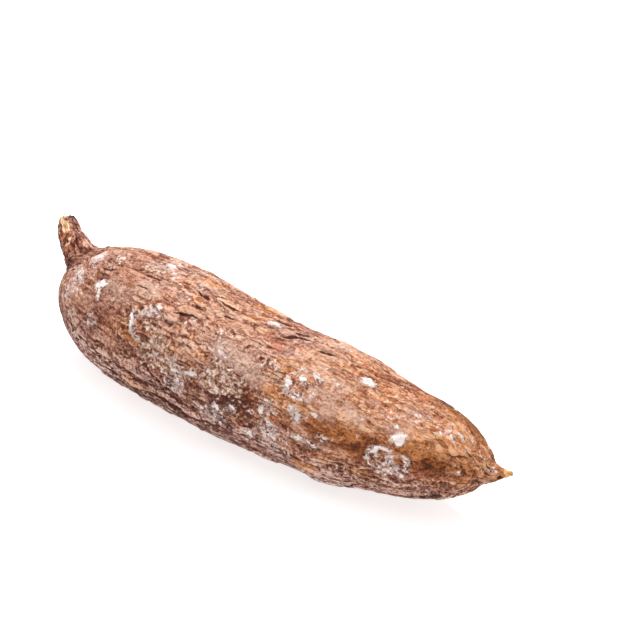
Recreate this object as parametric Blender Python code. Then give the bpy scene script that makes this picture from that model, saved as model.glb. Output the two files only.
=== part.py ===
"""One cassava root lying on its side, as one closed solid.

Metres, +Z up. The root runs along X: the torn neck that held it to the stem is at -X, and the thin
tail tip is at +X. The belly is flattened where the root lies on Z = 0, and the origin is on that
plane, under the middle of the root's bounding box.
"""

import math

import bmesh
import bpy
from mathutils import Vector, noise

# Driving dimension: the root's greatest thickness. All that follows scales with it.
GREATEST_THICKNESS = 0.070

# One millimetre of the tables below, which are drawn for a root 70 mm thick.
UNIT = GREATEST_THICKNESS / 70

# The root's line and its thickness, from the neck to the tail tip. Each row is a station: where its
# centre is along, sideways and above the ground, then its half width and its half height.
STATIONS = (
    # the neck, leaning back and up from the shoulder
    (-151.0, 18.0, 54.0, 3.8, 3.8),
    (-146.0, 15.5, 51.5, 4.6, 4.6),
    (-140.0, 12.5, 48.5, 6.0, 6.0),
    (-134.0, 9.0, 45.0, 7.8, 7.8),
    # the shoulder, where the neck widens into the body
    (-128.5, 5.8, 41.5, 10.6, 10.6),
    (-122.5, 2.0, 37.5, 17.5, 17.0),
    (-113.0, -1.0, 34.8, 25.0, 24.5),
    (-98.0, -1.8, 34.3, 30.8, 30.2),
    # the body, thickest a third of the way along
    (-80.0, -1.5, 34.2, 34.2, 33.8),
    (-58.0, -2.5, 34.2, 35.6, 34.8),
    (-30.0, -3.5, 33.4, 34.6, 34.2),
    (0.0, -2.5, 32.2, 33.4, 33.0),
    (25.0, -1.0, 31.4, 32.2, 32.0),
    (48.0, 0.5, 31.2, 31.2, 31.2),
    (68.0, 2.5, 31.2, 27.4, 27.6),
    (86.0, 4.5, 31.4, 24.5, 24.8),
    (100.0, 6.5, 31.8, 21.0, 21.2),
    (110.0, 7.5, 32.2, 15.8, 16.4),
    # the tail tip
    (116.5, 8.5, 33.0, 9.5, 9.8),
    (121.0, 8.8, 33.2, 5.4, 5.4),
    (126.0, 10.5, 34.2, 3.2, 3.2),
    (131.5, 12.5, 35.5, 1.2, 1.2),
)

# How finely the surface is cut into faces, and into how many steps a station's span is cut where
# the way along the surface is measured.
RINGS = 62
SIDES = 36
STEPS_PER_SPAN = 40

# Gentle swellings and hollows all over, each as its size across and its height. They shrink with
# the root's thickness towards its ends.
SWELLINGS = ((38 * UNIT, 1.5 * UNIT), (15 * UNIT, 0.6 * UNIT))
SWELLING_SEED = Vector((3.7, 1.2, 8.4))

# The bark, and the fold that is too sharp to be shaded smooth: the rim of the torn neck.
BARK_COLOUR = (0.33, 0.17, 0.10, 1.0)
BARK_ROUGHNESS = 0.8
SHARP_ANGLE = math.radians(60)


def station_at(place):
    """The station at a place along the table: 2.5 is half way from row 2 to row 3."""
    last = len(STATIONS) - 1
    row = min(int(place), last - 1)
    t = place - row
    four = (STATIONS[max(0, min(last, k))] for k in (row - 1, row, row + 1, row + 2))
    return [
        UNIT * (b + 0.5 * t * (c - a + t * (2 * a - 5 * b + 4 * c - d + t * (3 * (b - c) + d - a))))
        for a, b, c, d in zip(*four)
    ]


def direction_at(place):
    """Which way the root's line runs at a place along the table."""
    last = len(STATIONS) - 1
    reach = 1 / STEPS_PER_SPAN
    ahead = Vector(station_at(min(place + reach, last))[:3])
    behind = Vector(station_at(max(place - reach, 0))[:3])
    return (ahead - behind).normalized()


def ring_places():
    """Where the rings stand along the table, evenly by the way walked along the surface."""
    steps = STEPS_PER_SPAN * (len(STATIONS) - 1)
    stops = [station_at(step / STEPS_PER_SPAN) for step in range(steps + 1)]
    walked = [0.0]
    for here, there in zip(stops, stops[1:]):
        forward = Vector(there[:3]) - Vector(here[:3])
        widening = there[3] - here[3]
        walked.append(walked[-1] + math.hypot(forward.length, widening))
    places = []
    step = 0
    for ring in range(RINGS):
        wanted = walked[-1] * ring / (RINGS - 1)
        while step < steps - 1 and walked[step + 1] < wanted:
            step += 1
        share = (wanted - walked[step]) / (walked[step + 1] - walked[step])
        places.append((step + share) / STEPS_PER_SPAN)
    return places


def swelling(point):
    """How far the surface stands out of its station's outline at a point."""
    return sum(
        height * noise.noise(point / size + SWELLING_SEED) for size, height in SWELLINGS
    )


def ring_corners(place):
    """The corners of one ring, flattened where they reach the ground.

    A thin ring is square to the root's line, and a wide one to the X axis, so that no two cross
    where the line bends at the shoulder.
    """
    x, y, z, half_width, half_height = station_at(place)
    fullness = 2 * half_width / GREATEST_THICKNESS
    along = direction_at(place).lerp(Vector((1, 0, 0)), min(fullness, 1.0)).normalized()
    sideways = Vector((0, 0, 1)).cross(along).normalized()
    upward = along.cross(sideways)
    corners = []
    for side in range(SIDES):
        angle = 2 * math.pi * side / SIDES
        outward = sideways * math.cos(angle) + upward * math.sin(angle)
        corner = Vector((x, y, z))
        corner += sideways * (half_width * math.cos(angle))
        corner += upward * (half_height * math.sin(angle))
        corner += outward * (fullness * swelling(corner))
        corner.z = max(corner.z, 0.0)
        corners.append(corner)
    return corners


def root_shape():
    """The closed surface: a skin over the rings, and a cap on each end."""
    shape = bmesh.new()
    rings = [[shape.verts.new(c) for c in ring_corners(place)] for place in ring_places()]
    for ring, following in zip(rings, rings[1:]):
        for side in range(SIDES):
            after = (side + 1) % SIDES
            shape.faces.new((ring[side], ring[after], following[after], following[side]))
    shape.faces.new(reversed(rings[0]))
    shape.faces.new(rings[-1])
    bmesh.ops.recalc_face_normals(shape, faces=shape.faces)
    return shape


def centre_on_origin(shape):
    """Brings the middle of the bounding box over the origin."""
    middle = Vector((0.0, 0.0, 0.0))
    for axis in (0, 1):
        places = [corner.co[axis] for corner in shape.verts]
        middle[axis] = (min(places) + max(places)) / 2
    bmesh.ops.translate(shape, vec=-middle, verts=shape.verts)


def bark_material():
    material = bpy.data.materials.new("bark")
    material.diffuse_color = BARK_COLOUR
    material.use_nodes = True
    shader = material.node_tree.nodes["Principled BSDF"]
    shader.inputs["Base Color"].default_value = BARK_COLOUR
    shader.inputs["Roughness"].default_value = BARK_ROUGHNESS
    shader.inputs["Metallic"].default_value = 0.0
    return material


def main():
    for old in list(bpy.data.objects):
        bpy.data.objects.remove(old)
    shape = root_shape()
    centre_on_origin(shape)
    mesh = bpy.data.meshes.new("cassava_root")
    shape.to_mesh(mesh)
    shape.free()
    mesh.materials.append(bark_material())
    mesh.shade_smooth()
    mesh.set_sharp_from_angle(angle=SHARP_ANGLE)
    root = bpy.data.objects.new("cassava_root", mesh)
    bpy.context.scene.collection.objects.link(root)


main()
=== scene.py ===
"""The looks of one cassava root: its bark as a fine surface with flakes, cracks, scars and chalk.

Lengths in the tables and the relief are millimetres; what goes into Blender is metres. A place on
the root is given by x, as in the frame, and by its angle round the root: 0 is the top, 90 the front
(-Y), 180 the belly and -90 the back.
"""

import math
import random

import bpy
import numpy as np
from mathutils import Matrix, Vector
from mathutils.bvhtree import BVHTree


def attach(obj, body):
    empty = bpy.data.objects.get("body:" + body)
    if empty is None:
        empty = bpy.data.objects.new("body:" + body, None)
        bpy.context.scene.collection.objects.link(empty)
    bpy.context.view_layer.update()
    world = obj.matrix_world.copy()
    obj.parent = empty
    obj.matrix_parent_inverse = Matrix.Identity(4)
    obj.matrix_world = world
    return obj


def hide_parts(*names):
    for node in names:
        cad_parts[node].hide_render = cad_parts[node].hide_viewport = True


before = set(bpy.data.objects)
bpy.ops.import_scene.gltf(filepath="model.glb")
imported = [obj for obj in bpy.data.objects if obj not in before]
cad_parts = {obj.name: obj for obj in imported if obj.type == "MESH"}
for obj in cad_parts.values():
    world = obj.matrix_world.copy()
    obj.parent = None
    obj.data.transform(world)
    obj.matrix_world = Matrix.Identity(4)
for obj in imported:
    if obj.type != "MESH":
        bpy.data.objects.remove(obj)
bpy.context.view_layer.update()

MM = 0.001

# How strongly the bark shines.
BARK_SHINE = 0.15

# How finely the bark is cut: rings along the root, rings across the torn end of the neck, and corners
# round each ring.
RINGS = 384
END_RINGS = 9
SIDES = 250

# Where the body gives way to the neck: the neck's own look starts at the first x and is full at the second.
TO_NECK = (-112, -121)


# -------- noise

def scatter(i, j, k, seed):
    """Random numbers from 0 to 1 that belong to the whole-number points i, j, k."""
    h = i.astype(np.uint32) * np.uint32(0x9E3779B1)
    h ^= j.astype(np.uint32) * np.uint32(0x85EBCA77)
    h ^= k.astype(np.uint32) * np.uint32(0xC2B2AE3D)
    h ^= np.uint32((seed * 0x27D4EB2F) & 0xFFFFFFFF)
    h ^= h >> np.uint32(15)
    h *= np.uint32(0x2C1B3C6D)
    h ^= h >> np.uint32(12)
    h *= np.uint32(0x297A2D39)
    h ^= h >> np.uint32(15)
    return h / 4294967296.0


def noise(points, seed):
    """Smooth noise, about -1 to 1, with features about one unit across."""
    cell = np.floor(points)
    part = points - cell
    cell = cell.astype(np.int64)
    fade = part * part * part * (part * (part * 6 - 15) + 10)
    total = 0.0
    for corner in np.ndindex(2, 2, 2):
        i, j, k = (cell[..., axis] + corner[axis] for axis in range(3))
        turn = 2 * math.pi * scatter(i, j, k, seed)
        tilt = 2 * scatter(i, j, k, seed + 101) - 1
        flat = np.sqrt(1 - tilt * tilt)
        away = [part[..., axis] - corner[axis] for axis in range(3)]
        slope = flat * np.cos(turn) * away[0] + flat * np.sin(turn) * away[1] + tilt * away[2]
        weight = 1.0
        for axis in range(3):
            weight = weight * (fade[..., axis] if corner[axis] else 1 - fade[..., axis])
        total = total + weight * slope
    return 1.6 * total


def layered(points, seed, layers=3, gain=0.5):
    """Noise with finer and finer layers added."""
    total, height = 0.0, 1.0
    for layer in range(layers):
        total = total + height * noise(points * 2 ** layer, seed + 7 * layer)
        height *= gain
    return total


def rise(values, low, high):
    """0 below low, 1 above high, and a smooth step between; it falls where low is above high."""
    t = np.clip((values - low) / (high - low), 0.0, 1.0)
    return t * t * (3 - 2 * t)


# -------- the root's own surface

def blur(field, along, around):
    """A Gaussian blur of a field on the grid, in steps along the root and round it."""
    for axis, width in ((0, along), (1, around)):
        if width <= 0:
            continue
        reach = max(1, int(3 * width))
        steps = np.arange(-reach, reach + 1)
        weights = np.exp(-0.5 * (steps / width) ** 2)
        weights /= weights.sum()
        if axis == 0:
            padded = np.concatenate([
                np.repeat(field[:1], reach, 0), field, np.repeat(field[-1:], reach, 0)])
            field = sum(w * padded[n:n + len(field)] for n, w in enumerate(weights))
        else:
            field = sum(w * np.roll(field, s, 1) for s, w in zip(steps, weights))
    return field


def unit(vectors):
    """The same directions with a length of 1."""
    return vectors / np.maximum(np.linalg.norm(vectors, axis=-1, keepdims=True), 1e-9)


class Surface:
    """The CAD root as a grid of rings, from the middle of the neck's torn end to the tail tip."""

    # how far inside the root's two ends its middle line starts, the way between two sections of it, and
    # how far short of the ends it stops
    NECK_END = 5.0
    TAIL_END = 1.5
    SLICE = 1.0
    SHORT_OF_END = 0.5
    # the share of the greatest half width from which the rings start to turn square to X
    BODY = 0.35
    # how far the torn end is cut back in front and flares behind, and how much thinner the tail tip is
    BEVEL = 0.45
    FLARE = 0.30
    TAPER = 0.5

    def __init__(self, node):
        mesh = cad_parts[node].data
        corners = np.array([v.co for v in mesh.vertices]) / MM
        self.tree = BVHTree.FromPolygons(
            [Vector(c) for c in corners], [tuple(p.vertices) for p in mesh.polygons])
        self.edges = corners[np.array([tuple(e.vertices) for e in mesh.edges])]
        self.low = corners.min(0)
        self.high = corners.max(0)
        self.find_line()
        self.cast_rings()

    def slice_at(self, x):
        """The middle and the half width of the root's section at x."""
        a, b = self.edges[:, 0], self.edges[:, 1]
        crossed = (a[:, 0] - x) * (b[:, 0] - x) < 0
        a, b = a[crossed], b[crossed]
        share = ((x - a[:, 0]) / (b[:, 0] - a[:, 0]))[:, None]
        cut = a + share * (b - a)
        low, high = cut.min(0), cut.max(0)
        return [x, (low[1] + high[1]) / 2, (low[2] + high[2]) / 2, (high[1] - low[1]) / 2]

    def find_line(self):
        """The line through the middle of the root, from end to end, with its half width."""
        first, last = self.low[0] + self.NECK_END, self.high[0] - self.TAIL_END
        rows = np.array([self.slice_at(x) for x in np.arange(first, last, self.SLICE)])
        ends = []
        for row, other in ((rows[0], rows[4]), (rows[-1], rows[-5])):
            out = Vector(row[:3] - other[:3]).normalized()
            hit = self.tree.ray_cast(Vector(row[:3]), out)[0]
            ends.append([*(hit - out * self.SHORT_OF_END), row[3]])
        rows = np.array([ends[0], *rows, ends[1]])
        way = np.concatenate([[0], np.cumsum(np.linalg.norm(np.diff(rows[:, :3], axis=0), axis=1))])
        even = np.arange(0, way[-1], self.SLICE / 2)
        rows = np.stack([np.interp(even, way, rows[:, k]) for k in range(4)], 1)
        smooth = blur(rows, 4, 0)
        keep = rise(np.minimum(even, even[-1] - even), 0, 6)[:, None]
        self.line = rows + keep * (smooth - rows)

    def cast_rings(self):
        """Rings spaced evenly by the way along the bark, each cast outward from the line."""
        step = np.diff(self.line, axis=0)
        walked = np.concatenate([[0], np.cumsum(np.hypot(
            np.linalg.norm(step[:, :3], axis=1), step[:, 3]))])
        way = np.linspace(0, walked[-1], RINGS)
        middle = np.stack([np.interp(way, walked, self.line[:, k]) for k in range(4)], 1)
        centres, half = middle[:, :3], middle[:, 3]
        fullness = rise(half / half.max(), self.BODY, 1.0)[:, None]
        normal = unit(blur(np.gradient(centres, axis=0), 3, 0))
        normal = unit(normal * (1 - fullness) + np.array([1.0, 0, 0]) * fullness)
        front = unit(np.cross(normal, [0.0, 0, 1]))
        up = np.cross(front, normal)
        self.angle = np.linspace(-math.pi, math.pi, SIDES, endpoint=False)
        out = (up[:, None] * np.cos(self.angle)[None, :, None]
               + front[:, None] * np.sin(self.angle)[None, :, None])
        reach = np.empty((RINGS, SIDES))
        for i in range(RINGS):
            start = Vector(centres[i])
            for j in range(SIDES):
                hit = self.tree.ray_cast(start, Vector(out[i, j]))[3]
                reach[i, j] = hit if hit is not None else half[i]
        self.close_neck(way, centres, normal, out, blur(reach, 3.0, 3.0))

    def close_neck(self, way, centres, normal, out, reach):
        """Trims both ends, and closes the neck with its first ring again and again, smaller each time."""
        share = (np.arange(END_RINGS) + 0.3)[:, None] / END_RINGS
        reach = np.concatenate([reach[:1] * share, reach])
        turn = np.degrees(self.angle)
        bevel = np.exp(-((turn - 90) / 45) ** 2) * rise(centres[:, :1], -135, -141)
        flare = np.exp(-((turn + 70) / 45) ** 2) * rise(centres[:, :1], -131, -139)
        taper = rise(centres[:, :1], 134, 142.5)
        trim = 1 - self.BEVEL * bevel + self.FLARE * flare - self.TAPER * taper
        reach = reach * np.concatenate([np.repeat(trim[:1], END_RINGS, 0), trim])
        inward = -(1 - share) * reach[END_RINGS:END_RINGS + 1].mean()
        way = np.concatenate([inward, way[:, None]])
        centres, out, normal = (
            np.concatenate([np.repeat(rows[:1], END_RINGS, 0), rows]) for rows in (centres, out, normal))
        self.measure(way, centres, normal, out, reach)

    def measure(self, way, centres, normal, out, reach):
        """Keeps what the marks and the relief need to know about each corner."""
        whole = np.zeros(reach.shape)
        self.place = centres[:, None] + out * reach[..., None]
        self.radius = reach.mean(1, keepdims=True)
        self.way = way + whole
        self.x = centres[:, :1] + whole
        self.turn = np.degrees(self.angle) + whole
        self.arc = self.radius * self.angle
        across, upward = self.radius * np.sin(self.angle), self.radius * np.cos(self.angle)
        self.flow = np.stack([self.way, across, upward], -1)
        along = np.gradient(self.place, axis=0)
        around = np.roll(self.place, -1, 1) - np.roll(self.place, 1, 1)
        self.normal = unit(np.cross(around, along))
        if (self.normal * out).sum() < 0:
            self.normal = -self.normal
        self.axis = normal[:, None] + np.zeros_like(self.place)
        self.torn = rise(np.arange(len(reach)), END_RINGS + 7, END_RINGS)[:, None] + whole

    def stretched(self, along, around):
        """Where each corner is, in units of a length along the bark and a length round it."""
        return self.flow / np.array([along, around, around])


# -------- zones and marks

# The spots on the bark, by kind. Each row is a spot's x and angle, its length and its width; then how
# strong it is, where that isn't 1; then the turn of its long side in degrees, where that isn't 0: a turn
# of 0 runs along the root, and 90 runs round it.
SPOTS = {
    # broad, paler parts
    "pale": (
        (-38, 4, 62, 26, 1, 6), (-6, 8, 44, 24, 1.3), (-68, 2, 26, 16), (28, 8, 46, 30, 1.3),
        (20, 38, 30, 14, 0.8, 10), (42, 36, 34, 14, 0.8), (80, 36, 22, 18, 0.9, 40), (76, 78, 16, 12, 0.8),
        (-91, 58, 14, 12, 1.1), (-66, 48, 30, 14, 0.6), (-30, 58, 22, 12, 0.7), (5, -28, 50, 12, 0.4),
        (-126, -8, 16, 8, 0.6), (101, 40, 14, 10, 1.5), (108, 37, 13, 8, 2.9), (-50, 17, 16, 10, 1.7),
        (64, 116, 26, 12, 3), (-77, 101, 18, 12, 2.3), (-13, 16, 14, 9, 1.6), (8, 20, 14, 9, 1.8),
        (-14, 42, 16, 10, 3), (38, 60, 16, 10, 1.9), (-27, -14, 16, 10, 2.6), (46, 2, 16, 10, 2.6),
        (117, 0, 12, 9, 1.2), (-46, 82, 16, 10, 1.9), (28, 98, 16, 9), (42, 109, 14, 8, 1.7),
        (121, 27, 15, 8, 0.6, 5), (-31, -20, 14, 9, 1.7), (96, 7, 14, 9, 1.6), (37, 116, 16, 8, 2.1),
        (46, -24, 14, 8, 1.6), (-31, 37, 12, 8, 2), (53, 69, 12, 7, 1.4), (-60, 60, 18, 10, 1.4),
        (100, 47, 11, 8, 2.9), (-22, 6, 12, 8, 1.7), (12, -26, 12, 8, 1.6), (103, 115, 14, 6, 1.5),
        (-93, 56, 12, 9, 3), (-53, 22, 14, 9, 1.9), (4, 65, 12, 7, 1.4), (81, 9, 14, 9, 1.6),
        (-39, -30, 14, 8, 1.6), (-66, 82, 14, 9, 1.5), (55, 6, 12, 8, 2.3), (71, 42, 14, 9, 2.6),
        (0, -17, 14, 9, 2.1), (124, 92, 22, 12, 1.5), (66, 60, 12, 7, 1.4), (15, 16, 12, 8, 2.2),
        (61, 16, 12, 8, 2.3), (-35, 7, 14, 9, 1.7), (-22, 66, 14, 8, 2.6), (75, 49, 12, 7, 1.8),
        (97, 23, 8, 6, 2.2), (-86, 75, 10, 8, 1.5), (98, 89, 10, 7, 1.4), (-6, 89, 12, 7, 1.8),
        (68, 58, 10, 7, 1.3), (-47, 73, 12, 8, 1.4), (124, -18, 12, 10, 1.6), (4, -3, 10, 7, 1.6),
        (117, -4, 14, 9, 2.2), (95, -26, 14, 8, 1.2), (95, 15, 10, 7, 1.4), (17, 46, 10, 7, 1.2),
        (68, 86, 12, 8, 1.2), (-74, -12, 12, 8, 1.2),
    ),
    # broad, darker parts; those at the neck's foot and below the crust are painted shadow
    "umber_and_shade": (
        (-99, 86, 20, 14, 0.7), (-66, 68, 36, 14, 0.8), (-6, 84, 34, 16, 1.1, -5), (-46, 108, 64, 22, 1.1),
        (43, 77, 22, 10, 0.8), (67, 70, 26, 12, 1.1), (92, 66, 20, 14, 0.8), (108, 56, 28, 18, 1.1),
        (-88, 52, 22, 18, 0.8), (20, 68, 26, 12), (113, 89, 20, 8, 2), (107, 63, 15, 10, 2.3),
        (-136, -12, 14, 12), (-117, 22, 9, 14, 1.2), (9, 70, 16, 8, 1.3), (-66, 8, 12, 9, 0.9),
        (111, -40, 30, 13, 4.4), (82, -18, 20, 16, 1.3), (80, 28, 22, 12), (90, 22, 22, 14, 0.9),
        (102, 10, 30, 18, 0.5), (79, 86, 18, 10, 1.2), (-60, 36, 12, 10, 0.8), (2, 114, 18, 10, 2.6),
        (-24, 112, 20, 10, 1.4), (21, -30, 16, 8, 1.1), (-118, 5, 14, 10, 0.9), (-11, 79, 18, 9, 2.2),
        (-124, 70, 18, 16, 0.9), (32, 62, 22, 10, 0.8), (-132, 100, 14, 12, 0.8), (13, 71, 22, 9, 2.8),
        (-20, 105, 18, 9, 4.2), (-114, 9, 14, 14, 3.2), (-77, 30, 12, 9, 2), (-130, 10, 10, 10, 1.5),
        (17, 112, 16, 8, 1.7), (117, 22, 10, 6, 1.6), (29, -8, 12, 7, 1.4), (-54, -3, 10, 7, 1.5),
        (60, 80, 14, 8, 1.6), (111, 88, 18, 9, 2), (121, 75, 11, 8, 1.9), (125.5, 50, 10, 8, 1.5),
        (-138, -53, 10, 10, 3), (106, 66, 14, 9, 1.6), (84, 63, 13, 8, 2), (-46, 114, 18, 10, 3.6),
        (-75, 14, 12, 8, 1.3), (25, -16, 14, 7, 1.4), (78, 99, 16, 8, 2.1), (14, -3, 10, 7),
        (8, 88, 12, 7, 2.3), (19, 57, 10, 8, 2), (64, 3, 14, 9, 1.5), (105, 17, 12, 8, 1.4),
        (-56, 34, 12, 8, 1.5), (-22, 39, 10, 7, 1.4), (61, 75, 12, 7, 2.3), (-34, 82, 12, 7, 1.6),
        (-59, 96, 12, 7, 1.4), (77, 30, 12, 8, 1.4), (94, 74, 10, 8, 1.5), (-62, -35, 12, 8, 1.5),
        (120, 69, 14, 8, 2.2), (-4, 30, 10, 7, 1.4), (84, 62, 10, 7, 1.5), (130, 66, 8, 12, 1.5),
        (-58, -6, 10, 7, 1.2), (23, 9, 12, 8, 1.4), (52, 104, 12, 7, 1.4), (1, 45, 10, 6, 1.3),
        (-92, 12, 9, 8, 1.3), (-80, 4, 10, 7, 1.2), (113, 24, 9, 7, 1.2), (10, 66, 12, 7, 1.5),
        (-91, 14, 10, 7, 1.4), (38, 32, 12, 8, 1.3), (-20, 33, 10, 7, 1.2), (-39, 46, 10, 7, 1.2),
        (105, 19, 10, 7, 1.2),
    ),
    # white lime that has dried on
    "chalk": (
        (-77.5, 34, 8.5, 4.2, 1, -35), (-76, 42, 8, 2.6, 0.9, 65), (-49, 49, 10.5, 3, 1, 69),
        (-38, 30, 4.2, 3, 0.9, 20), (-41, 37, 3.5, 3, 0.7), (-34.7, 46, 3, 2, 0.65, 60),
        (-53, -14, 8.5, 3.5, 0.9, 10), (-48, -6, 6, 3, 0.75, 40), (-45.5, 0, 4, 3, 0.65, 40),
        (-91, 9, 7, 4.4, 0.75, -62), (-90.6, 49, 4.5, 2.5, 0.8, 60), (-99.4, 58, 5, 3, 0.6, 60),
        (-76.2, 69, 5, 2.5, 0.75, 60), (-92.9, 73, 3, 1.6, 0.65, 60), (-89.9, 76, 4, 1.8, 0.65, 60),
        (-16.7, 68, 10, 2.4, 0.85, -10), (-7.5, 63, 11, 2.4, 0.9, -16), (-29.5, 63, 5, 2.6, 0.7, 30),
        (13, -12, 7.5, 4.2, 0.95, 5), (38.9, 37, 5, 4.2, 0.95, 60), (44, 29, 6, 3.6, 1, 20),
        (46, 43, 9, 2.8, 0.8, 10), (52.4, 22, 2.6, 6, 0.7, 20), (31.9, 68, 5, 4.2, 0.85, 30),
        (26.4, 73, 4, 3, 0.75), (35.8, 75, 7, 3, 0.8, 60), (26.6, 94, 6, 4.5, 0.9),
        (17, 77, 5.5, 4.5, 0.75, 30), (8.4, 81, 5, 2.6, 0.95, 30), (0.5, 88, 6, 2.4, 0.8, 35),
        (6, 95, 6, 2.4, 0.75, 25), (50, 59, 6.5, 3.6, 0.9, 60), (56.9, 52, 5.5, 2.6, 0.85),
        (52, 77, 10, 3.2, 0.8, -5), (64, 67, 10, 2.2, 0.75, -5), (39, 85, 10, 5, 0.68, 50),
        (70.1, 3, 8, 4.6, 1, 5), (96, 43, 5.8, 4.4, 1.25, -35), (92.5, 33, 3, 2.6, 0.9),
        (107.7, -36, 3.2, 2.2, 0.8), (114.2, 13, 4, 2.2, 0.75, 60), (122.6, -6, 3.5, 2.2, 0.7, 30),
        (122.6, 59, 2.2, 2, 0.8), (60, 19, 5, 3, 0.7), (87.8, 27, 5, 2.6, 0.75), (45.5, 55, 5, 3, 0.8),
        (35.5, 68, 3.5, 2.2, 0.75, 60), (-96, 34, 12, 2.6, 0.7, 35), (-100, 50, 11, 2.6, 0.65, 85),
        (110, 18, 4, 2.4, 0.78, 50), (117, 4, 5, 2.4, 0.8, 30), (112.5, -4, 3, 2, 0.75),
    ),
    # a thin net of lime
    "frost": (
        (-101, 29, 10, 5, 0.9, 40), (-95, 33, 13, 6, 1.2, 30), (-89, 26, 9, 4, 0.8, -40),
        (-96, 44, 12, 6, 1, 75), (-99, 57, 10, 6, 0.9, 80), (-52, -8, 22, 10, 0.8, 10),
        (-90, 74, 14, 8, 0.8, 70), (-75, 66, 12, 9, 0.8, 60), (-40, 34, 16, 6, 0.9), (-16, 81, 12, 9, 0.9),
        (46, 35, 20, 16, 0.5), (60, 22, 14, 10, 0.55), (38, 84, 18, 14, 0.9, 20), (7, 88, 22, 13, 0.8, 25),
        (49, 60, 14, 12, 0.8, 60), (60, 78, 26, 8, 0.7, -5), (91, 20, 14, 12, 0.7, 20),
        (98, 11, 16, 12, 0.8), (91, 72, 16, 14, 0.2), (97, 71, 8, 12, 0.45, 60), (97, 92, 22, 12, 0.6),
        (112, 12, 16, 10, 0.8, 20), (13, -12, 14, 9, 0.7), (78, 98, 34, 10, 0.5), (2, 35, 13, 9, 0.85, 60),
        (-21, 63, 10, 6, 0.8), (35, 62, 10, 8), (98, 79, 14, 8), (94, 20, 9, 7, 0.6), (117, 1, 12, 8, 0.5),
        (46, -24, 14, 8, 0.7), (-53, -24, 12, 7, 0.6), (-91, 9, 10, 7, 1.2, -60), (133.5, 40, 4, 5, 0.9),
    ),
    # beige grains of soil and lime
    "crust": (
        (-30, 66, 20, 9), (-30, 54, 10, 6, 0.8), (-17, 69, 16, 6, 0.9, -10), (-4, 61, 12, 5, 0.8, -10),
        (3, 50, 8, 10, 0.9, 60), (11, 57, 14, 11, 1, 30), (-38, 46, 7, 9, 0.7, 60), (90.5, 71, 9, 8, 0.75),
        (49, 59, 9, 8, 0.7, 40), (-79, 4, 10, 6, 0.7, 30), (-80, 14, 8, 4, 0.7), (-58, 0, 12, 7, 0.8, 20),
        (28, 30, 12, 8, 0.6, 20), (-3, 22, 9, 7, 0.6, 20), (3, 64, 10, 7, 0.9),
    ),
    # smooth skin under a milky film
    "veil": (
        (-66, 31, 22, 12, 0.95, 10), (-45, 45, 18, 12, 0.6), (3, 33, 16, 12, 1.3, 40),
        (17, 39, 22, 11, 1.25, 10), (60, 36, 22, 15, 0.85, 20), (73, 37, 16, 9, 1, 20),
        (-60, -3, 12, 7, 0.9), (93, 34, 10, 9, 0.9), (-14, 79, 9, 7, 0.8), (15, 77, 8, 6, 0.7),
        (62, 97, 30, 9, 0.5), (30, 16, 16, 9, 0.7, -10), (-96, 47, 16, 8, 0.8, 70),
        (-98, 80, 24, 16, 0.6, 60), (-91, 9, 9, 7, 1.2, -50), (-51, 20, 16, 10, 1.15), (92, 22, 9, 7, 0.5),
        (95, 79, 12, 6, 0.9), (-125.5, 64, 7, 2.5), (47, -24, 16, 8), (-55, -24, 14, 8),
        (36, 22, 16, 10, 0.7), (-88, -6, 16, 8, 0.8), (62, 22, 14, 10, 0.8), (-60, -8, 12, 8, 0.8),
        (99, 30, 10, 7, 0.6), (77, 20, 12, 7, 0.7), (-34, -29, 14, 7, 0.7), (97, 26, 8, 6, 0.8),
    ),
    # brown, glossy stains
    "stain": (
        (10, 70, 16, 9, 1.1, 10), (24, 71, 14, 7, 0.7), (44, 74, 16, 6, 0.7), (60, 62, 14, 7, 0.9, 10),
        (78, 63, 26, 9, 1.1, 4), (105, 62, 17, 10, 1.4), (119, 55, 16, 6, 0.6), (44, 62, 12, 5, 0.45, 30),
        (99, -39, 16, 5, 0.8), (-70, 60, 26, 10, 0.4), (-85, 62, 12, 8, 0.4, 30), (-38, 47, 8, 7, 0.8),
        (-22, 70, 40, 8, 0.7, -4), (-94.5, -1, 4, 3, 1.1), (25, 12, 8, 6, 0.7, 20),
        (-124, 48, 12, 6, 0.9, 30), (-128, 92, 12, 6), (84, 60, 10, 7, 0.9),
    ),
    # orange and yellow inner bark
    "amber": (
        (45, 48, 7, 4, 1.1), (-26, 6, 7, 3.5), (7.5, -12, 7, 3.5, 1.1), (-38, 48, 5, 4, 1, 60),
        (-36.3, 36, 4, 3, 1, 60), (-102, 32, 4.5, 4), (120, 31, 13, 5, 1.3, 2), (33, 48, 14, 10, 0.8),
        (0, -30, 18, 7, 0.9), (-29, -19, 14, 6, 0.9), (3, -6, 9, 3.5, 0.9), (34, 25, 26, 12, 0.8, -5),
        (48, 68, 12, 8, 0.7), (108, 38, 24, 12, 0.9), (112, -20, 24, 14, 0.8), (124, 86, 12, 10, 0.7),
        (-130.5, 46, 7, 3, 1.2), (100, 30, 12, 8, 0.7), (48.3, 27, 3.4, 3.4, 1.2), (-46, 62, 14, 6, 1, 10),
        (137, 40, 8, 14, 1.1), (121, 27, 13, 6, 1.5, 5), (-46, 90, 14, 6, 0.62), (119, -42, 16, 8, 1.6),
        (109, 14, 14, 9), (50, 65, 11, 7, 1.3), (81, 96, 16, 8, 0.8), (118, 3, 16, 9), (90, 22, 12, 8, 0.9),
        (101, -38, 18, 8, 1.6), (-46, 99, 16, 7, 0.7), (40, 56, 12, 6, 1.4), (50, 54, 10, 6, 1.4),
        (39, 70, 9, 5, 1.3), (56, 62, 10, 5, 1.2), (112, 60, 12, 7), (111, 24, 10, 7, 1.2),
        (55, 108, 14, 8, 1.1), (-37, 104, 14, 7, 0.85),
    ),
    # bare, torn wood
    "wood": (
        (-136.5, 25, 10.5, 2.8, 1, -8), (-127, 20, 5, 1.4, 0.8, 40), (-141, 10, 5, 5, 0.7),
        (143, 50, 7, 14, 1.2), (130.5, 30, 4, 2.5, 0.7, 70),
    ),
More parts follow.
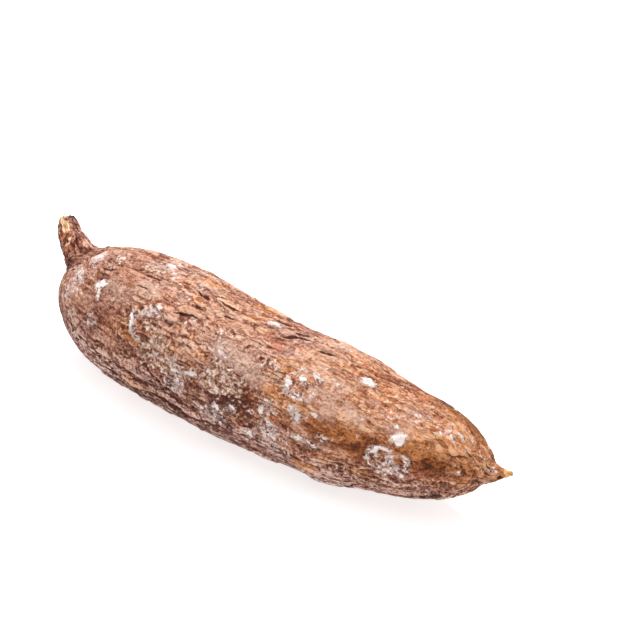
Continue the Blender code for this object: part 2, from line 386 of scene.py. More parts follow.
    # black soil that sticks to the bark
    "clod": (
        (114, 114, 8, 3.5, 1.1), (108.5, 117, 5, 3, 0.9), (103.5, 118, 4, 2.5, 0.8), (-95, -3, 3, 2, 0.9),
    ),
    # black soil in a hollow
    "soil": (
        (-140.5, -50, 5, 5), (-118.5, 45, 7, 2.5, 0.9, 70), (136.5, 92, 3.4, 2, 0.9, 60),
        (132, 60, 3, 1.6, 0.55, 60), (52.6, 25, 1.8, 4, 0.8, 10), (-130.5, 82, 5, 2.2, 0.9),
        (142, -60, 2, 2), (94, 66, 4, 3, 0.7), (29, 16, 5, 3, 0.5, 30),
    ),
    # flakes of bark that stand up from the rest
    "flake": (
        (121, 27, 13, 6, 1.2, 5), (-91, 9, 8, 6, 1.2, -50), (-127, 20, 8, 3.5, 1, 40), (112, 20, 9, 4),
        (-22, 20, 15, 6, 1, -8), (-32, 30, 13, 6), (27, -8, 16, 6, 1.1, -10), (-12, -6, 14, 6),
        (-55, -30, 14, 7), (5, -36, 14, 7, 1, -10), (45, -34, 12, 6), (76, -30, 10, 5), (-24, -34, 12, 6),
        (-72, -24, 10, 6, 1, 10), (127, 50, 8, 4, 1, 30), (-30, 84, 15, 6, 1, 8), (-20, 97, 15, 4.5),
        (-44, 104, 16, 6), (-62, 88, 12, 6), (-8, 100, 13, 5),
    ),
}

# Old scars: the kind of spot their rim is, x, angle, radius, width of the rim, where the rim starts and
# ends in degrees as it turns from +X towards larger angles, and how strong it is.
SCARS = (
    ("frost", -40, 47, 7.6, 3, 90, 325, 0.95), ("crust", -40, 47, 7.6, 2.6, 85, 250, 0.9),
    ("frost", 45.5, 33, 7.5, 2.6, 0, 360, 1.05), ("chalk", 90.5, 70, 5.2, 2, 110, 330, 0.95),
    ("frost", 90.5, 70, 5.2, 3, 0, 360, 1.15), ("chalk", 45.5, 33, 7.5, 2, 30, 320, 0.72),
    ("soil", 48.3, 27, 2.6, 0.9, 0, 360, 0.8), ("frost", 97.5, 71, 5, 2.2, 200, 400, 1.3),
    ("frost", -16, 80, 5.2, 2, 0, 360, 1.05),
)

# Open cracks: x and angle of one end, then of the other end, and the crack's width.
CRACKS = (
    (-31, 27.5, -16, 21.5, 1.1), (-40, -1, -34, -2, 0.9), (-30, -1.5, -20, 1, 1),
    (-21, -8.5, -13, -12.5, 1), (-18, -4, -4, -4.5, 1.1), (21, 0, 34, -10, 1.7), (24, -11, 35, -16, 1.4),
    (-35, 77, -21, 89, 1.8), (-29, 102, -11, 100.5, 2), (-50, 109, -29, 106.5, 1.8),
    (-44, 96, -33, 97, 1.3), (-66, 95, -55, 99, 1.3), (-4, 104, 8, 104, 1.4), (26, 102, 35, 103, 1.2),
    (-26, 14, -18, 12, 1.1), (-60, 8, -48, 6, 1), (-10, 8, -3, 5, 1.1), (40, -2, 50, -6, 1.2),
    (113, 40, 127, 32, 0.6), (120, 18, 129, 24, 0.6), (-85, 20, -74, 16, 1), (-78, 106, -66, 110, 1.6),
    (10, -18, 20, -20, 1.2), (-58, 22, -50, 20, 1), (-25, 106, -8, 105, 1.8),
)

# The hidden sides, from the back round the belly, carry the same kinds of marks, strewn by chance.
HIDDEN_SEED = 7
HIDDEN_FROM = 125
HIDDEN_TO = 300
HIDDEN_CRACKS = 26

# What is strewn there: the kind, how many, and the least and the most of length, width and strength.
HIDDEN_SPOTS = (
    ("pale", 12, (25, 55), (14, 26), (0.7, 1.1)), ("umber_and_shade", 12, (20, 50), (12, 22), (0.7, 1.1)),
    ("chalk", 30, (3, 8), (2, 4.5), (0.65, 0.95)), ("frost", 14, (9, 22), (6, 13), (0.7, 1.0)),
    ("crust", 8, (8, 16), (5, 10), (0.7, 1.0)), ("veil", 9, (12, 26), (8, 15), (0.7, 1.0)),
    ("stain", 12, (12, 28), (6, 11), (0.7, 1.1)), ("amber", 12, (5, 20), (3, 10), (0.7, 1.0)),
    ("flake", 16, (10, 18), (5, 8), (0.9, 1.1)),
)

# The radius of the root's body, to turn an angle round it into a length.
BODY_RADIUS = 34.0


def strewn_marks():
    """Spots and cracks for the hidden sides."""
    dice = random.Random(HIDDEN_SEED)
    spots = {kind: [] for kind in SPOTS}
    for kind, count, lengths, widths, strengths in HIDDEN_SPOTS:
        for _ in range(count):
            place = dice.uniform(-100, 118), dice.uniform(HIDDEN_FROM, HIDDEN_TO)
            size = dice.uniform(*lengths), dice.uniform(*widths)
            turned = dice.uniform(-30, 60)
            spots[kind].append((*place, *size, dice.uniform(*strengths), turned))
    cracks = []
    for _ in range(HIDDEN_CRACKS):
        x, angle = dice.uniform(-95, 85), dice.uniform(HIDDEN_FROM, HIDDEN_TO)
        cracks.append((
            x, angle, x + dice.uniform(7, 18), angle + dice.uniform(-6, 6), dice.uniform(1.0, 1.9)))
    return spots, cracks


def away_from(root, x, angle):
    """How far each corner is from a point of the bark: along the root and round it."""
    return root.x - x, root.radius * np.radians((root.turn - angle + 180) % 360 - 180)


def turned_by(along, around, angle):
    """The same distances, seen along and across a line that is turned by an angle."""
    cos, sin = math.cos(math.radians(angle)), math.sin(math.radians(angle))
    return along * cos + around * sin, around * cos - along * sin


def add_spot(root, field, seed, x, angle, length, width, strength=1, turned=0):
    """Raises a field over an oval spot: to its strength in the middle and to half of that at its edge."""
    along, around = away_from(root, x, angle)
    close = np.hypot(along, around) < 1.3 * max(length, width)
    size = 0.7 * min(length, width) + 0.6
    place = root.flow[close] / size
    along = along[close] + 0.28 * size * layered(place, seed, 2)
    around = around[close] + 0.28 * size * layered(place, seed + 50, 2)
    a, b = turned_by(along, around, turned)
    far = np.hypot(a / (length / 2), b / (width / 2))
    field[close] = np.maximum(field[close], strength * np.clip(1 - 0.5 * far, 0, 1))


def add_scar(root, field, seed, x, angle, radius, width, start, end, strength):
    """Raises a field along the rim of a round scar."""
    along, around = away_from(root, x, angle)
    close = np.hypot(along, around) < radius + 2 * width
    place = root.flow[close] / 5.0
    along = along[close] + 2.0 * layered(place, seed, 2)
    around = around[close] + 2.0 * layered(place, seed + 50, 2)
    strength = strength * (0.85 + 0.5 * noise(place, seed + 90))
    middle, half = (start + end) / 2, (end - start) / 2
    off = np.abs((np.degrees(np.arctan2(around, along)) - middle + 180) % 360 - 180)
    rim = np.clip(1 - np.abs(np.hypot(along, around) - radius) / width, 0, 1)
    share = rise(off, half + 12, half - 12) if half < 179 else 1.0
    field[close] = np.maximum(field[close], strength * share * rim)


def crack_fields(root, cracks):
    """How far each corner lies below the nearest crack's line, and how open the crack is there."""
    below = np.full_like(root.x, 9.0)
    width = np.zeros_like(root.x)
    bend = 1.1 * noise(root.stretched(7.0, 4.0), 401) + 0.45 * noise(root.stretched(2.6, 2.0), 402)
    for x, angle, end_x, end_angle, wide in cracks:
        along, around = away_from(root, (x + end_x) / 2, (angle + end_angle) / 2)
        rise_round = math.radians(end_angle - angle) * BODY_RADIUS
        length = math.hypot(end_x - x, rise_round)
        a, b = turned_by(along, around, math.degrees(math.atan2(rise_round, end_x - x)))
        b = b + bend
        nearer = (np.abs(a) < 0.62 * length) & (np.abs(b) < np.abs(below)) & (np.abs(b) < 7)
        below[nearer] = b[nearer]
        width[nearer] = wide * np.clip(1 - (2 * a[nearer] / length) ** 2, 0, 1) ** 0.7
    return below, width


def zones(root):
    """The parts of the bark that differ in colour and in the way they crack, each from 0 to 1."""
    x, turn = root.x, root.turn
    wander = layered(root.stretched(30.0, 20.0), 5)
    low = np.abs(turn + 4) + 14 * wander
    tailward = 0.30 * rise(x, 55, 105)
    found = {}
    # the lower side: its darker, mauve colour is painted shade with a painted reflection of the pale floor;
    # its deeper furrows are relief
    found["shaded_underside"] = rise(low + 13 * rise(x, -5, -45), 80, 106) * (1 - tailward - 0.30 * rise(x, 105, 122))
    found["tail"] = rise(x + 10 * wander, 10, 85) * rise(low, 104, 66) * (1 - 0.4 * rise(turn, -8, -45))
    found["dome"] = rise(x + 6 * wander, -80, -104) * rise(x, -116, -108)
    found["neck"] = rise(x, *TO_NECK)
    shoulder = rise(x + 8 * wander, -45, -72) * rise(x, -112, -104) * rise(np.abs(turn - 30), 62, 40)
    ridge = rise(np.abs(x + 8 * wander), 70, 45) * rise(np.abs(turn + 5), 48, 22)
    found["mild"] = np.maximum(shoulder, 0.5 * ridge)
    patchy = rise(layered(root.stretched(16.0, 7.0), 55, 2), -0.45, 0.25)
    broken = rise(layered(root.stretched(7.0, 5.0), 58, 2), -0.35, 0.30)
    upper = rise(np.abs(turn + 10) + 14 * wander, 95, 55)
    middle = rise(x + 8 * wander, -84, -52) * rise(x + 8 * wander, 75, 35)
    found["flaky"] = patchy * (0.25 + 0.75 * broken) * (0.15 + 0.85 * upper) * (0.15 + 0.85 * middle)
    furrowed = rise(layered(root.stretched(12.0, 5.5), 81, 2), -0.30, 0.70)
    found["cut"] = furrowed * (0.75 + 0.85 * found["shaded_underside"]) * (1 - 0.6 * found["flaky"])
    found["cut"] *= 1 - 0.55 * rise(x, -15, 35)
    spots, cracks = strewn_marks()
    for n, (kind, rows) in enumerate(SPOTS.items()):
        found[kind] = np.zeros_like(x)
        for k, row in enumerate([*rows, *spots[kind]]):
            add_spot(root, found[kind], 1000 * (n + 1) + 3 * k, *row)
    for k, (kind, *row) in enumerate(SCARS):
        add_scar(root, found[kind], 9000 + 3 * k, *row)
    found["below"], found["open"] = crack_fields(root, [*CRACKS, *cracks])
    return found


# -------- relief

# How high and how deep the parts of the bark's relief are, in millimetres.
FLAKE_HEIGHT = 0.95
LOOSE_FLAKE_HEIGHT = 0.75
LUMP_HEIGHT = 0.40
BETWEEN_FLAKES = 0.40
VALLEY_DEPTH = 0.70
CRACK_DEPTH = 0.75
SOIL_DEPTH = 0.50
LIP_HEIGHT = 0.65
CHALK_HEIGHT = 0.22
FINE_HEIGHT = 0.20
# The least steepness of a line's field, so that a line doesn't spread where its field is flat.
LEAST_PACE = 0.05


def bark_lines(root, shaded_underside):
    """Two smooth fields that the relief and the colours both read, so that they fit together.

    Where "scales" passes a whole number, a flake ends in a lifted edge. Where "ridges" passes 0, a
    valley runs between two ridges. On the dusky side near the neck the ridges run straighter.
    """
    warp = root.stretched(22.0, 12.0)
    bend = np.stack([noise(warp, 301), noise(warp, 302), noise(warp, 303)], -1)
    side = np.hypot(root.arc, 12.0)
    scales = side / 4.6 + 1.7 * noise(root.stretched(26.0, 11.0) + 0.3 * bend, 311)
    scales = scales + 0.62 * noise(root.stretched(9.0, 4.6) + 0.4 * bend, 312)
    scales = scales + 0.22 * noise(root.stretched(3.6, 2.4), 313)
    ridges = noise(root.stretched(13.0, 2.9) + 0.5 * bend, 321)
    ridges = ridges + 0.35 * noise(root.stretched(5.0, 2.0) + 0.5 * bend, 322)
    straight = noise(root.stretched(22.0, 3.0) + 0.35 * bend, 323)
    straight = straight + 0.25 * noise(root.stretched(7.0, 1.8), 324)
    ridges = ridges + shaded_underside * rise(root.x, 50, -20) * (straight - ridges)
    return scales, ridges


def steepness(root, field):
    """How fast a field changes along the bark, for each millimetre."""
    along = np.gradient(field, axis=0) / np.gradient(root.way, axis=0)
    step = root.radius * 2 * math.pi / SIDES
    around = (np.roll(field, -1, 1) - np.roll(field, 1, 1)) / (2 * step)
    return blur(np.hypot(along, around), 1.0, 1.0)


def relief(root, zone, scales, ridges):
    """How far the bark stands out of the root's own surface, in millimetres."""
    saw = scales - np.floor(scales)
    from_edge = (1 - saw) / np.maximum(zone["pace"], LEAST_PACE)
    lifted = zone["flaky"] * (0.6 * np.exp(-from_edge / 1.8) + 0.4 * saw)
    off_line = np.abs(ridges) / np.maximum(zone["swing"], LEAST_PACE)
    valley = rise(off_line, 0.7 * zone["cut"] + 0.7, 0.0) * rise(zone["cut"], 0.05, 0.6)
    lumps = layered(root.stretched(15.0, 9.0), 95, 2)
    height = LUMP_HEIGHT * lumps + FLAKE_HEIGHT * lifted - BETWEEN_FLAKES * zone["flaky"]
    height -= VALLEY_DEPTH * valley
    calm = 1 - 0.5 * np.maximum(rise(zone["veil"], 0.3, 0.7), 0.7 * rise(zone["chalk"], 0.3, 0.6))
    height *= calm
    # the cracks, each with a lip lifted above it
    below, gap = zone["below"], zone["open"]
    height -= CRACK_DEPTH * rise(gap, 0, 1.2) * rise(np.abs(below), 0.5 * gap + 0.9, 0.2)
    height += LIP_HEIGHT * rise(gap, 0, 1.2) * rise(below, -4.5, -0.7) * rise(below, 0.1, -0.6)
    # what lies on the bark
    grit = layered(root.stretched(2.2, 2.2), 99, 2)
    height += rise(zone["crust"], 0.3, 0.7) * (0.2 + 0.4 * grit)
    height += rise(zone["frost"], 0.3, 0.8) * (0.05 + 0.15 * grit)
    height += CHALK_HEIGHT * rise(zone["chalk"], 0.3, 0.6)
    height -= SOIL_DEPTH * rise(zone["soil"], 0.3, 0.8)
    height += rise(zone["clod"], 0.25, 0.6) * (0.7 + 0.6 * grit)
    loose = LOOSE_FLAKE_HEIGHT * rise(zone["flake"], 0.40, 0.56)
    height += loose + FINE_HEIGHT * layered(root.stretched(4.5, 3.2), 97, 2) * calm
    return height + neck_relief(root) + tip_relief(root)


def neck_relief(root):
    """The twisted neck: folds along it, a bulge on its front and a notch where it leaves the body."""
    x, turn = root.x, root.turn
    twist = root.flow + np.stack([np.zeros_like(x), 0.25 * root.way, np.zeros_like(x)], -1)
    folds = np.abs(noise(twist / np.array([22.0, 2.6, 2.6]), 501))
    fibres = noise(twist / np.array([9.0, 1.1, 1.1]), 502)
    bulge = np.exp(-((x + 132) / 7) ** 2 - ((turn - 90) / 50) ** 2)
    notch = np.exp(-((x + 118.5) / 3.0) ** 2 - ((turn - 60) / 50) ** 2)
    return rise(x, *TO_NECK) * (0.5 - 1.5 * folds + 0.22 * fibres) + 2.0 * bulge - 2.8 * notch


def tip_relief(root):
    """The tail tip: a ragged spike with a collar of dry bark round its base."""
    ragged = noise(root.stretched(2.4, 0.9), 511)
    collar = np.exp(-((root.x - 130.5 - 0.8 * ragged) / 1.6) ** 2)
    spike = rise(root.x, 131.5, 134.5)
    side = np.exp(-((root.x - 127) / 5) ** 2 - ((root.turn + 35) / 50) ** 2)
    return collar * (0.55 + 0.35 * ragged) + 0.40 * spike * ragged + 1.4 * side


def torn_end(root):
    """How far the neck's torn end is pulled inward: splinters on one side, a hollow on the other."""
    splinters = layered(root.stretched(4.0, 1.5), 521, 2)
    side = np.cos(np.radians(root.turn + 45)) * np.minimum(root.radius / 3.5, 1)
    hollow = rise(side, 0.1, 0.9) * rise(np.hypot(*np.moveaxis(root.flow[..., 1:], -1, 0)), 3.8, 2.6)
    return root.torn * (0.7 * splinters - 0.9 * side - 1.6 * hollow + 0.3)


# -------- the mesh

# How far the tail tip stays short of the CAD root's end.
TIP_MARGIN = 0.6


def root_faces(rings):
    """The bark's faces, all facing outward: four-sided between the rings, and a fan over each end."""
    ring = np.arange(SIDES)
    following = (ring + 1) % SIDES
    i = np.arange(rings - 1)[:, None] * SIDES
    quads = np.stack([i + ring, i + following, i + SIDES + following, i + SIDES + ring], -1)
    last = (rings - 1) * SIDES
    neck_cap = np.stack([following, ring, np.full(SIDES, rings * SIDES)], -1)
    tail_cap = np.stack([last + ring, last + following, np.full(SIDES, rings * SIDES + 1)], -1)
    return quads.reshape(-1, 4).tolist() + neck_cap.tolist() + tail_cap.tolist()


def root_piece(root, height, pulled, fields):
    """The bark's mesh: its corners raised by their height, and those of the torn end pulled inward."""
    place = root.place + root.normal * height[..., None] - root.axis * pulled[..., None]
    place = np.clip(place, root.low, root.high - [TIP_MARGIN, 0, 0])
    middles = [place[0].mean(0), place[-1].mean(0)]
    corners = np.concatenate([place.reshape(-1, 3), middles]) * MM
    mesh = bpy.data.meshes.new("cassava_bark")
    mesh.from_pydata(corners.tolist(), [], root_faces(len(place)))
    mesh.shade_smooth()
    for name, field in fields.items():
        kind, value = ("FLOAT_VECTOR", "vector") if field.ndim == 3 else ("FLOAT", "value")
        flat = field.reshape(len(place) * SIDES, -1)
        flat = np.concatenate([flat, flat[:SIDES].mean(0)[None], flat[-SIDES:].mean(0)[None]])
        mesh.attributes.new(name, kind, "POINT").data.foreach_set(value, flat.ravel())
    piece = bpy.data.objects.new("cassava_bark", mesh)
    bpy.context.scene.collection.objects.link(piece)
    return piece


# -------- materials

# The colour of the painted shade in cracks and valleys and of the painted shadow under lifted edges, of wet
# soil, of painted glints, and of lime from a thin dust to a thick coat.
SEAM_SHADE_BROWN = (0.062, 0.012, 0.005)
SOIL_BLACK = (0.022, 0.007, 0.004)
POWDER_GREY = (0.70, 0.58, 0.54)
GRAIN_WHITE = (0.82, 0.73, 0.69)
GLINT_BEIGE = (0.78, 0.62, 0.53)
HALO_BEIGE = (0.66, 0.51, 0.44)
THIN_COAT = (0.50, 0.35, 0.29)
THICK_COAT = (0.85, 0.78, 0.74)
# The colours of the skin under the bark, of the milky film on it, of inner bark and of the spike.
BODY_SKIN = (0.50, 0.265, 0.170)
TAIL_SKIN = (0.50, 0.230, 0.115)
THIN_FILM = (0.25, 0.150, 0.110)
THICK_FILM = (0.66, 0.500, 0.425)
AMBER = (0.66, 0.27, 0.075)
SPIKE_YELLOW = (0.72, 0.36, 0.075)
# The tints of the film on the root's top and of the stains on its body.
FILM_TINT = (1.0, 0.95, 0.80)
STAIN_TINT = (1.0, 0.90, 1.7)

# The tone of plain bark, where 0 is the darkest and 1 the palest, and how far spots and tail move it.
PLAIN_TONE = 0.545
SPOT_TONE = 0.17
TAIL_TONE = 0.12


class Value:
    """What a node of a material gives out. Plain arithmetic on it adds the nodes for that."""

    def __init__(self, nodes, socket):
        self.nodes = nodes
        self.socket = socket

    def __add__(self, other):
        return self.nodes.math("ADD", self, other)

    def __sub__(self, other):
        return self.nodes.math("SUBTRACT", self, other)

    def __rsub__(self, other):
        return self.nodes.math("SUBTRACT", other, self)

    def __mul__(self, other):
        return self.nodes.math("MULTIPLY", self, other)

    def __truediv__(self, other):
        return self.nodes.math("DIVIDE", self, other)

    def __abs__(self):
        return self.nodes.math("ABSOLUTE", self)

    def most(self, other):
        """The greater of two numbers."""
        return self.nodes.math("MAXIMUM", self, other)

    def clamped(self):
        """Keeps this number from 0 to 1."""
        self.socket.node.use_clamp = True
        return self

    def beside(self, output):
        """Another output of the same node."""
        return Value(self.nodes, self.socket.node.outputs[output])

    def sway(self, amount):
        """A noise that swings round 0, by about half the amount each way."""
        return (self - 0.5) * amount

    def rise(self, low, high, bottom=0.0, top=1.0):
        """A smooth step from bottom, where this number is low, to top, where it is high."""
        values = {"Value": self, "From Min": low, "From Max": high, "To Min": bottom, "To Max": top}
        return self.nodes.add("MapRange", "Result", values, interpolation_type="SMOOTHSTEP")

    def ramp(self, *stops):
        """The colour that belongs to this number. Each stop is a number and its red, green and blue."""
        ramp = self.nodes.add("ValToRGB", "Color", {"Fac": self})
        elements = ramp.socket.node.color_ramp.elements
        while len(elements) < len(stops):
            elements.new(0.5)
        for element, (at, *colour) in zip(elements, stops):
            element.position = at
            element.color = (*colour, 1.0)
        return ramp


class Nodes:
    """A material's nodes. What goes into a node may be a number, a colour or another node's Value."""

    def __init__(self, name):
        self.material = bpy.data.materials.new(name)
        self.material.use_nodes = True
        self.tree = self.material.node_tree
        self.shader = self.tree.nodes["Principled BSDF"]

    def put(self, socket, value):
        """Links or sets a socket."""
        if isinstance(value, Value):
            self.tree.links.new(value.socket, socket)
        elif isinstance(value, tuple) and socket.type == "RGBA":
            socket.default_value = (*value, 1.0)
        else:
            socket.default_value = value

    def add(self, kind, output, values, **settings):
        """Adds a node and returns one of its outputs."""
        node = self.tree.nodes.new("ShaderNode" + kind)
        for name, setting in settings.items():
            setattr(node, name, setting)
        for name, value in values.items():
            self.put(node.inputs[name], value)
        return Value(self, node.outputs[output])

    def field(self, name, output="Fac"):
        """One of the fields that the mesh carries."""
        return self.add("Attribute", output, {}, attribute_name=name)

    def math(self, operation, a, b=0.0):
        return self.add("Math", 0, {0: a, 1: b}, operation=operation)

    def vector_math(self, operation, *vectors):
        return self.add("VectorMath", 0, dict(enumerate(vectors)), operation=operation)

    def stretch(self, vector, along, around):
        """A place in units of a length along the bark and a length round it."""
        return self.vector_math("MULTIPLY", vector, (1 / along, 1 / around, 1 / around))

    def shift(self, vector, by, amount):
        """A place moved by a share of another vector."""
        return self.vector_math("MULTIPLY_ADD", by, (amount, amount, amount), vector)

    def parts(self, vector):
        """The three numbers of a vector."""
        first = self.add("SeparateXYZ", 0, {0: vector})
        return [first.beside(axis) for axis in range(3)]

    def cells(self, vector):
        """The cell that holds a place: its own three random numbers, its middle, and how near its edge is."""
        values = {"Vector": vector, "Scale": 1.0}
        own = self.add("TexVoronoi", "Color", values)
        border = self.add("TexVoronoi", "Distance", values, feature="DISTANCE_TO_EDGE")
        return self.parts(own), own.beside("Position"), border

    def downhill(self, vector, middle, flow):
        """How far a place lies from its cell's middle towards the root's lower side."""
        outward = self.vector_math("NORMALIZE", self.vector_math("MULTIPLY", flow, (0.0, 1.0, 1.0)))
        spread = self.vector_math("SUBTRACT", vector, middle)
        around = self.parts(self.vector_math("CROSS_PRODUCT", spread, outward))[0]
        return around * self.parts(flow)[1].rise(-6.0, 6.0, -1.0, 1.0)

    def noise(self, vector, detail, rough, output="Fac"):
        """Noise from 0 to 1 with features about one unit across."""
        values = {"Vector": vector, "Scale": 1.0, "Detail": detail, "Roughness": rough}
        return self.add("TexNoise", output, values)

    def mix(self, a, b, share, how="MIX"):
        """The colour a with a share of b laid over it."""
        return self.add("Mix", 2, {0: share, 6: a, 7: b}, data_type="RGBA", blend_type=how)


def bark_material():
    """The bark: its lines and plates, its tone, its colours, what lies on it and its finest relief."""
    n = Nodes("bark")
    flow = n.field("flow", "Vector")
    tail, dome, shaded_underside, mild, flaky, veil, crust, chalk, pace = (n.field(name) for name in (
        "tail", "dome", "shaded_underside", "mild", "flaky", "veil", "crust", "chalk", "pace"))
    bend = n.noise(n.stretch(flow, 14, 6), 2, 0.5, "Color")
    streaks = n.noise(n.shift(n.stretch(flow, 6, 1), bend, 1.6), 3, 0.65)
    patches = n.noise(n.stretch(flow, 13, 6), 4, 0.65)
    specks = n.noise(n.shift(n.stretch(flow, 1.7, 0.9), bend, 2), 3, 0.75)
    ragged = n.noise(n.stretch(flow, 2.4, 1.3), 3, 0.65)
    clots = n.noise(n.stretch(flow, 3, 2.6), 4, 0.7)
    grains = n.noise(n.stretch(flow, 1.3, 1.3), 3, 0.7)
    mottle = n.noise(n.stretch(flow, 1.7, 1.4), 3, 0.7)

    # where the outer skin has peeled off
    shreds = n.noise(n.shift(n.stretch(flow, 12, 5.5), bend, 0.6), 4, 0.62)
    peeled = (shreds + shaded_underside * -0.04 - dome * 0.06).rise(0.485, 0.515)

    # small plates like shingles, each with its own tone and its lower edge a little lifted; a painted shadow
    # darkens the slit above each plate, and a painted highlight lightens its lifted edge
    fray = n.noise(n.stretch(flow, 2.6, 1.3), 3, 0.6, "Color")
    place = n.shift(n.shift(n.stretch(flow, 8, 2.8), bend, 1.1), fray, 0.32)
    own_part, middle, border = n.cells(place)
    down = n.downhill(place, middle, flow)
    plated = patches.rise(0.34, 0.5) * veil.rise(0.75, 0.35, 0.4, 1)
    slit_shadow = border.rise(0.26, 0.1) * down.rise(0.12, -0.12)
    slit_shadow = slit_shadow * (own_part[2] + ragged.sway(1)).rise(0.4, 0.62) * plated
    crest_highlight = border.rise(0.34, 0.08) * down.rise(0, 0.25) * plated

    # the lifted edges of the flakes, each with a painted highlight along it (rim), painted shade below it
    # (shade) and a painted shadow line at its foot (gap); a painted shadow round the foot of each loose
    # flake; and each flake's own tone
    scales = n.field("scales") + (ragged.sway(0.18) + specks.sway(0.1))
    stand = n.field("flake") + ragged.sway(0.22)
    flake = stand.rise(0.46, 0.52)
    flake_foot_shadow = stand.rise(0.33, 0.45) * stand.rise(0.5, 0.45)
    saw = n.math("FRACT", scales)
    under = saw / pace.most(LEAST_PACE)
    above = (1 - saw) / pace.most(LEAST_PACE)
    rim = above.rise(1.5, 0.15) * flaky
    shade = under.rise(1.8, 0.2) * flaky
    gap = under.rise(0.75, 0.3) * flaky.rise(0.15, 0.5) * clots.rise(0.4, 0.54, 0.15, 1)
    number = n.math("FLOOR", scales) * 3.7
    plate = n.noise(n.add("CombineXYZ", 0, {0: number, 1: n.parts(flow)[0] * 0.09}), 1, 0.5)

    # valleys, coarse and fine
    ridges = n.field("ridges") + ragged.sway(0.35)
    off_line = abs(ridges) / n.field("swing").most(LEAST_PACE)
    cut = n.field("cut") + ragged.sway(0.5)
    valley = (off_line - cut * 0.5).rise(0.3, -0.1)
    valley = valley * cut.rise(0.15, 0.4) * clots.rise(0.38, 0.5, 0.4, 1)
    wrinkles = n.noise(n.shift(n.stretch(flow, 5, 1.1), bend, 2), 3, 0.6)
    fine = abs(wrinkles - 0.5).rise(0.025, 0) * patches.rise(0.42, 0.58)

    # open cracks, with a painted highlight on the lip above each
    below = n.field("below") + ragged.sway(1.1)
    opened = n.field("open") * 0.5
    crack = (abs(below) - opened).rise(0.12, -0.25) * opened.rise(0, 0.3)
    lip_highlight = below.rise(-2.6, -0.7) * below.rise(0.1, -0.5) * opened.rise(0, 0.4)
    pits = n.noise(n.shift(n.stretch(flow, 3, 1.3), bend, 3), 2, 0.6).rise(0.37, 0.29)

    # the tone, from dark to pale
    fibrous = tail.most(dome * 0.6).rise(0.2, 0.9, 0.15, 1)
    tone = streaks.sway(0.75) * fibrous + patches.sway(0.82) * tail.rise(0.2, 0.9, 1, 0.65)
    blotches = clots.rise(0.38, 0.62).sway(0.18) + mottle.rise(0.4, 0.6).sway(0.2)
    blotches += grains.rise(0.43, 0.57).sway(0.31)
    tone += blotches * tail.rise(0.2, 0.9, 1.05, 0.55)
    tone += specks.rise(0.35, 0.65).sway(0.26) * fibrous
    tone += own_part[0].sway(0.42) * plated
    tone += crest_highlight * 0.13
    # painted light on the tops of the ridges between the valleys, and painted shade towards the valleys
    lit_ridge_tops = off_line.rise(0.5, 1.4) * cut.rise(0.15, 0.5) * shaded_underside
    tone += lit_ridge_tops.sway(0.14)
    tone += flake * 0.13
    tone -= shade * 0.14
    tone += plate.sway(0.9) * flaky.rise(0, 0.6)
    # painted shade in the hollows and painted highlight on the ridges
    tone -= n.field("hollow") * 0.17
    # painted highlight on the flakes' lifted rims and on the cracks' lips
    tone += rim.most(lip_highlight) * 0.12
    tone *= mild.rise(0, 1, 1.12, 0.8)
    # the umber spots darken the bark; at the neck's foot and below the crust they are painted shadow
    tone += (n.field("pale") - n.field("umber_and_shade")) * SPOT_TONE + tail * TAIL_TONE + PLAIN_TONE

    # the bark's own colours, each for every tone
    tan = tone.ramp(
        (0.08, 0.085, 0.022, 0.007), (0.32, 0.225, 0.071, 0.029), (0.5, 0.37, 0.14, 0.067),
        (0.68, 0.53, 0.245, 0.132), (0.95, 0.73, 0.44, 0.27))
    rosy = tone.ramp(
        (0.08, 0.07, 0.021, 0.013), (0.32, 0.195, 0.074, 0.047), (0.5, 0.33, 0.145, 0.097),
        (0.68, 0.48, 0.255, 0.18), (0.95, 0.68, 0.47, 0.37))
    mauve = tone.ramp(
        (0.1, 0.042, 0.014, 0.01), (0.32, 0.125, 0.046, 0.033), (0.5, 0.26, 0.112, 0.082),
        (0.7, 0.465, 0.265, 0.21), (0.95, 0.7, 0.49, 0.42))
    orange = tone.ramp(
        (0.08, 0.105, 0.024, 0.007), (0.32, 0.255, 0.072, 0.024), (0.5, 0.405, 0.143, 0.058),
        (0.68, 0.56, 0.25, 0.122), (0.95, 0.78, 0.47, 0.285))
    brown = tone.ramp(
        (0.1, 0.045, 0.009, 0.002), (0.36, 0.122, 0.028, 0.005), (0.58, 0.245, 0.068, 0.013),
        (0.9, 0.5, 0.188, 0.054))
    blush = n.noise(n.stretch(flow, 16, 9), 4, 0.65) + own_part[1].sway(0.1)
    colour = n.mix(tan, rosy, blush.rise(0.46, 0.6))
    warm = (tail + patches.sway(1.2)).most(blush.rise(0.41, 0.31))
    colour = n.mix(colour, orange, warm.rise(0.1, 0.9, 0, 0.85))
    colour = n.mix(colour, rosy, n.field("neck").most(dome).most(mild * 0.75) * 0.7)
    # painted shade and painted floor reflection on the lower side, as a darker mauve
    colour = n.mix(colour, mauve, shaded_underside)
    bare = n.mix(rosy, n.mix(BODY_SKIN, TAIL_SKIN, tail), tone.rise(0.3, 0.6, 0.1, 0.6))
    colour = n.mix(colour, bare, peeled * shaded_underside.rise(0, 1, 0.6, 0.3))
    gold = (n.field("amber") + clots.sway(1)).rise(0.42, 0.62)
    colour = n.mix(colour, n.mix(orange, AMBER, 0.35), gold * 0.8)
    stained = (n.field("stain") + clots.sway(1.2)).rise(0.15, 0.5)
    brown = n.mix(brown, STAIN_TINT, tail.rise(1, 0.4), "MULTIPLY")
    colour = n.mix(colour, brown, stained * tail.rise(0.3, 1, 0.8, 0.94))
    milk = (veil + clots.sway(0.9)).rise(0.3, 0.85, 0, 0.56)
    film = clots.sway(1.3) + mottle.sway(1.6) + grains.sway(1.6)
    film = n.mix(THIN_FILM, THICK_FILM, (film + 0.5).clamped())
    film = n.mix(film, FILM_TINT, mild * 0.8, "MULTIPLY")
    colour = n.mix(colour, film, milk)

